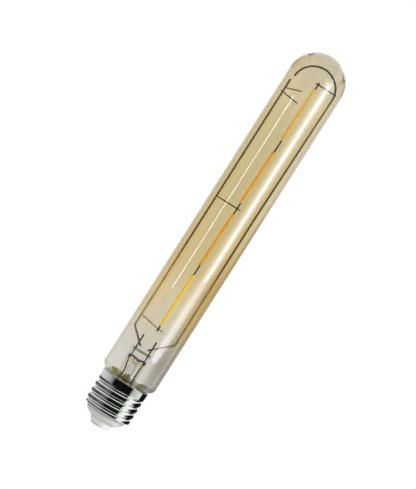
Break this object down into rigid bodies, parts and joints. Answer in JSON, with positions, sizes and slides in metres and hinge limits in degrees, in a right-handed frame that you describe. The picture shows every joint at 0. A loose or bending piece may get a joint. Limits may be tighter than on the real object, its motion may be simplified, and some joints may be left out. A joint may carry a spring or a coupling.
{
  "type": "led filament bulb",
  "caption": "Long tubular LED filament bulb in gold-tinted glass: filaments in line on wire rails, glass stem and E27 screw cap with white insulator.",
  "frame": {"origin": "middle of the centre contact's outer face, on the bulb's axis", "axes": "+Z along the axis from the cap to the dome, +X in the plane of the two wire rails, -Y to the front"},
  "size_m": [0.0305, 0.0304, 0.2246],
  "materials": {
    "amber_glass": "clear gold tint, polished",
    "clear_glass": "clear, fire polished",
    "lead_wire": "dull drawn wire",
    "dark_wire": "dark oxidised wire",
    "phosphor": "silicone with yellow phosphor",
    "terminal_metal": "stamped strip",
    "nickel": "bright nickel plate",
    "white_plastic": "moulded, slightly glossy",
    "contact_metal": "tinned",
    "cement": "baked capping cement",
    "circuit_board": "solder mask",
    "black_package": "moulded resin",
    "capacitor_sleeve": "drawn can",
    "resistor": "lacquered",
    "copper_wire": "tinned copper"
  },
  "bodies": {
    "root": {"glass_envelope": "amber_glass", "glass_stem": "clear_glass", "middle_bead": "clear_glass", "lead_wire_left": "lead_wire", "lead_wire_right": "lead_wire", "rail_left": "dark_wire", "rail_right": "dark_wire", "top_cross_wire": "dark_wire", "middle_cross_wire": "dark_wire", "bottom_cross_wire": "dark_wire", "front_wall_prong": "dark_wire", "rear_wall_prong": "dark_wire", "cap_shell": "nickel", "cap_insulator": "white_plastic", "centre_contact": "contact_metal", "cap_cement": "cement", "driver_board": "circuit_board", "bridge_rectifier": "black_package", "driver_chip": "black_package", "smoothing_capacitor": "capacitor_sleeve", "fuse_resistor": "resistor", "neutral_wire": "copper_wire", "filament_1": "phosphor", "filament_1_upper_terminal": "terminal_metal", "filament_1_lower_terminal": "terminal_metal", "filament_2": "phosphor", "filament_2_upper_terminal": "terminal_metal", "filament_2_lower_terminal": "terminal_metal", "filament_3": "phosphor", "filament_3_upper_terminal": "terminal_metal", "filament_3_lower_terminal": "terminal_metal", "filament_4": "phosphor", "filament_4_upper_terminal": "terminal_metal", "filament_4_lower_terminal": "terminal_metal"}
  },
  "joints": []
}
